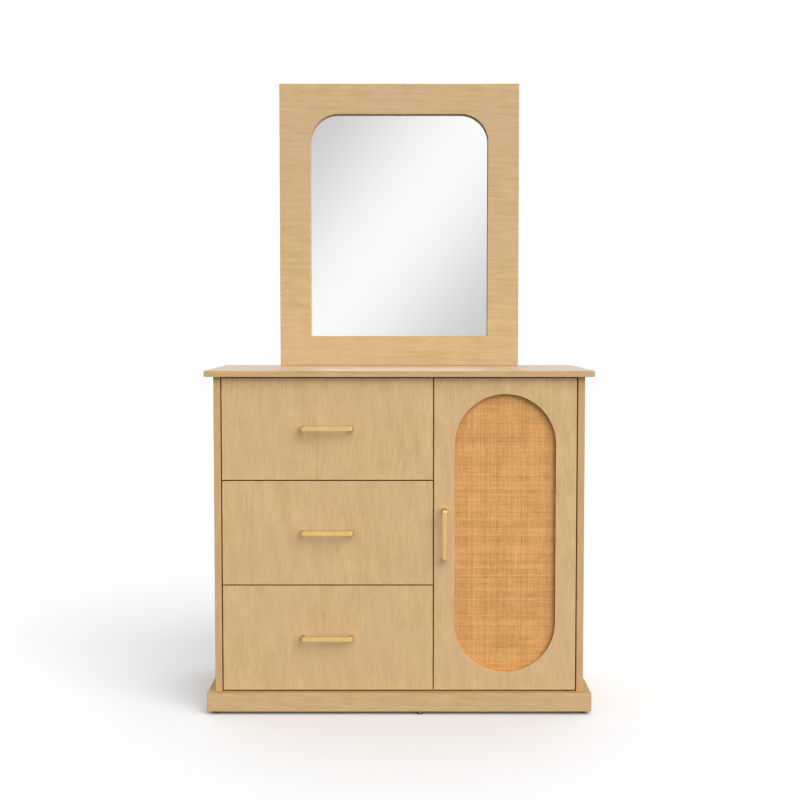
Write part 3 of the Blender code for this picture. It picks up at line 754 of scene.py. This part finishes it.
def compartment_fixings(steel, brown):
    """Behind the door: the catch's screws, the shelf's pins and the covers of the cam fittings."""
    shape = bmesh.new()
    low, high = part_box("door_catch")
    for y in (low.y + PLATE_INSET, high.y - PLATE_INSET):
        add_screw(shape, Vector((high.x, y, (low.z + high.z) / 2)), FACING["right"], SLIDE_HEAD)
    shelf_low, shelf_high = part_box("shelf")
    walls = (
        (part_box("divider_panel")[1].x, FACING["right"]),
        (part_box("side_panel_right")[0].x, FACING["left"]),
    )
    collar_radius, collar_height = SHELF_PIN_COLLAR
    pin = (
        (0.0, 0.0),
        (collar_radius, 0.0),
        (collar_radius, collar_height),
        (SHELF_PIN_RADIUS, collar_height),
        (SHELF_PIN_RADIUS, SHELF_PIN_LENGTH - SHELF_PIN_TIP),
        (SHELF_PIN_RADIUS * 0.7, SHELF_PIN_LENGTH),
        (0.0, SHELF_PIN_LENGTH),
    )
    covers = bmesh.new()
    radius, height = CAM_COVER
    eased = ((0.0, 0.0), (1.0, 0.0), (1.0, 0.5), (0.93, 1.0), (0.0, 1.0))
    disc = [(radius * r, height * h) for r, h in eased]
    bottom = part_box("bottom_panel")[1].z
    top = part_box("top_board")[0].z
    for x, facing in walls:
        for y in (shelf_low.y + SHELF_PIN_INSETS[0], shelf_high.y - SHELF_PIN_INSETS[1]):
            add_turned(shape, Vector((x, y, shelf_low.z - SHELF_PIN_DROP)), facing, pin)
        for y in (shelf_low.y + CAM_INSETS[0], shelf_high.y - CAM_INSETS[1]):
            for z in (bottom + CAM_DEPTH, top - CAM_DEPTH):
                add_turned(covers, Vector((x, y, z)), facing, disc, segments=24)
    piece("compartment_fixings", shape, "cabinet", steel)
    piece("cam_covers", covers, "cabinet", brown)


def back_panel_nails(steel):
    """Nails round the edge of the back panel and down the line of the divider."""
    low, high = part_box("back_panel")
    shape = bmesh.new()
    across = (low.x + NAIL_INSET, high.x - NAIL_INSET)
    up = (low.z + NAIL_INSET, high.z - NAIL_INSET)
    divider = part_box("divider_panel")
    divider_x = (divider[0].x + divider[1].x) / 2
    places = set()
    count = round((across[1] - across[0]) / NAIL_PITCH)
    for i in range(count + 1):
        x = across[0] + (across[1] - across[0]) * i / count
        places.update({(x, up[0]), (x, up[1])})
    count = round((up[1] - up[0]) / NAIL_PITCH)
    for i in range(1, count):
        z = up[0] + (up[1] - up[0]) * i / count
        places.update({(across[0], z), (across[1], z), (divider_x, z)})
    for x, z in sorted(places):
        add_nail(shape, Vector((x, high.y, z)), FACING["back"], NAIL_HEAD)
    piece("back_panel_nails", shape, "cabinet", steel)


def bracket_outline():
    """An angle bracket seen from its side: two legs with a filled inner corner."""
    sheet = BRACKET_SHEET
    bend = sheet + BRACKET_BEND
    fillet = sheet + 0.3 * BRACKET_BEND
    return (
        (0.0, 0.0),
        (BRACKET_LEG, 0.0),
        (BRACKET_LEG, sheet),
        (bend, sheet),
        (fillet, fillet),
        (sheet, bend),
        (sheet, BRACKET_LEG),
        (0.0, BRACKET_LEG),
    )


def post_fixings(screws, plates):
    """Screws through the mirror's posts, and an angle bracket at the foot of each."""
    top_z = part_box("top_board")[1].z + FIT
    depth = FACING["back"] * BRACKET_WIDTH
    for side in SIDES:
        inward = INWARD[side]
        low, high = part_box("mirror_post_" + side)
        centre = (low + high) / 2
        for share in POST_SCREWS:
            place = Vector((centre.x, high.y, low.z + share * (high.z - low.z)))
            add_screw(screws, place, FACING["back"], PAN_HEAD)
        face = high.x if side == "left" else low.x
        corner = Vector((face, centre.y - BRACKET_WIDTH / 2, top_z)) + inward * FIT
        add_outline(plates, bracket_outline(), corner, inward, FACING["up"], depth)
        for leg, facing in ((FACING["up"], inward), (inward, FACING["up"])):
            on_leg = corner + depth / 2 + facing * BRACKET_SHEET
            add_screw(screws, on_leg + leg * BRACKET_HOLE * BRACKET_LEG, facing, SLIDE_HEAD)


def turn_buttons(screws, plates):
    """The turn buttons that hold the mirror's backing, each with its screw."""
    low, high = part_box("mirror_backing")
    side_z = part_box("mirror_post_left")[1].z + BUTTON_ABOVE_POST
    outline = round_ended(BUTTON_LENGTH, BUTTON_WIDTH)
    thickness = FACING["back"] * BUTTON_SHEET
    spots = []
    for x in (-BUTTON_SPREAD, 0.0, BUTTON_SPREAD):
        spots += [(x, low.z, "up", -1), (x, high.z, "up", 1)]
    spots += [(low.x, side_z, "right", -1), (high.x, side_z, "right", 1)]
    for x, z, way, sign in spots:
        along = FACING[way]
        outward = along * sign
        place = Vector((x, high.y + FIT, z)) + outward * BUTTON_REACH
        add_outline(plates, outline, place, along, FACING["back"].cross(along), thickness)
        add_screw(screws, place + outward * BUTTON_SCREW + thickness, FACING["back"], SLIDE_HEAD)


def mirror_fixings(steel):
    """Behind the mirror: what holds its posts, and its backing."""
    screws = bmesh.new()
    plates = bmesh.new()
    post_fixings(screws, plates)
    turn_buttons(screws, plates)
    piece("mirror_fixings", plates, "cabinet", steel, ease=0.0003)
    piece("mirror_screws", screws, "cabinet", steel)


# ---------------------------------------------------------------- the studio


def key_light():
    """One big soft lamp, up in front and to the right."""
    data = bpy.data.lights.new("key", "SUN")
    data.energy = KEY_POWER
    data.angle = math.radians(KEY_SPREAD)
    lamp = bpy.data.objects.new("key", data)
    lamp.rotation_euler = (math.radians(90.0 - KEY_RISE), 0.0, math.radians(KEY_FROM_RIGHT))
    bpy.context.scene.collection.objects.link(lamp)


def floor():
    """A wide pale floor. Its own light on the object comes from the surroundings' lower half instead."""
    shape = bmesh.new()
    bmesh.ops.create_circle(shape, cap_ends=True, segments=96, radius=FLOOR_RADIUS)
    mesh = bpy.data.meshes.new("floor")
    shape.to_mesh(mesh)
    shape.free()
    thing = bpy.data.objects.new("floor", mesh)
    bpy.context.scene.collection.objects.link(thing)
    thing.visible_diffuse = False
    nodes = new_material("floor")
    cloud = nodes.noise(nodes.place(PLAIN), scale=1.5, detail=2.0)
    colour = nodes.mix(cloud, *FLOOR_SHADES)
    mesh.materials.append(nodes.finish(colour, nodes.spread(cloud, 0.3, 0.7, 0.7, 0.8)))
    nodes.shader.inputs["Specular IOR Level"].default_value = 0.1


def surroundings():
    """A white studio: a fill from the front right, and a slanting strip that only the mirror shows."""
    world = bpy.data.worlds.new("studio")
    bpy.context.scene.world = world
    nodes = Nodes(world)
    direction = nodes.add("TexCoord").outputs["Generated"]
    split = nodes.add("SeparateXYZ")
    nodes.link(direction, split.inputs[0])
    across = dot(nodes, direction, STRIP_ACROSS)
    square = nodes.math("POWER", nodes.math("ABSOLUTE", across), 2.0)
    strip = nodes.math("EXPONENT", nodes.math("MULTIPLY", square, -STRIP_FALLOFF))
    in_mirror = nodes.spread(split.outputs["Y"], -0.985, -0.950, 1.0, 0.0)
    strip = nodes.math("MULTIPLY", nodes.math("MULTIPLY", strip, in_mirror), STRIP_LIGHT)
    fill = nodes.spread(dot(nodes, direction, FILL_TOWARDS), 0.45, 0.85, 0.0, FILL_LIGHT)
    fill = nodes.math("MULTIPLY", fill, nodes.math("SUBTRACT", 1.0, in_mirror))
    fill = nodes.math("MULTIPLY", fill, nodes.spread(split.outputs["Z"], -0.10, 0.05))
    below = nodes.spread(split.outputs["Z"], -0.12, -0.02, BELOW_LIGHT, WALL_LIGHT)
    above = nodes.spread(split.outputs["Z"], 0.15, 0.65, 0.0, CEILING_LIGHT)
    aside = nodes.math("MULTIPLY", split.outputs["X"], SIDE_LIGHT)
    light = nodes.math("ADD", nodes.math("ADD", below, above), nodes.math("ADD", aside, strip))
    behind = nodes.spread(split.outputs["Y"], 0.10, 0.60, 0.0, BEHIND_LIGHT)
    behind = nodes.math("MULTIPLY", behind, nodes.spread(split.outputs["Z"], 0.22, 0.50))
    light = nodes.math("ADD", nodes.math("ADD", light, fill), behind)
    seen = nodes.add("LightPath").outputs["Is Camera Ray"]
    strength = nodes.add("Mix", data_type="FLOAT")
    nodes.link(seen, strength.inputs["Factor"])
    nodes.link(light, strength.inputs[2])
    strength.inputs[3].default_value = 1.0
    nodes.link(strength.outputs[0], nodes.tree.nodes["Background"].inputs["Strength"])
    nodes.tree.nodes["Background"].inputs["Color"].default_value = (1.0, 1.0, 1.0, 1.0)


def camera():
    data = bpy.data.cameras.new("camera")
    data.lens = CAMERA_LENS
    data.sensor_width = 36.0
    data.clip_end = 200.0
    thing = bpy.data.objects.new("camera", data)
    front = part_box("top_board")[0].y
    thing.location = (CAMERA_X, front - CAMERA_AHEAD, CAMERA_HEIGHT)
    thing.rotation_euler = (math.radians(90.0 - CAMERA_PITCH), 0.0, 0.0)
    bpy.context.scene.collection.objects.link(thing)
    bpy.context.scene.camera = thing


def main():
    camera()
    surroundings()
    floor()
    key_light()
    back = hardboard("back_board", *HARDBOARD_SHADES)
    steel = plated_steel("zinc_steel", *ZINC_SHADES)
    brown = plastic("foot_plastic", *PLASTIC_SHADES)
    dress_boards()
    dress_the_rest(back, steel, brown)
    woven_cane()
    cane_backing(back, oak_veneer("oak_bead", "z", "y", (0.4, 0.8, 0.2)), steel)
    slide_fixings(steel)
    door_fixings(steel)
    compartment_fixings(steel, brown)
    back_panel_nails(steel)
    mirror_fixings(steel)
    bpy.context.scene.view_settings.view_transform = "Standard"


main()
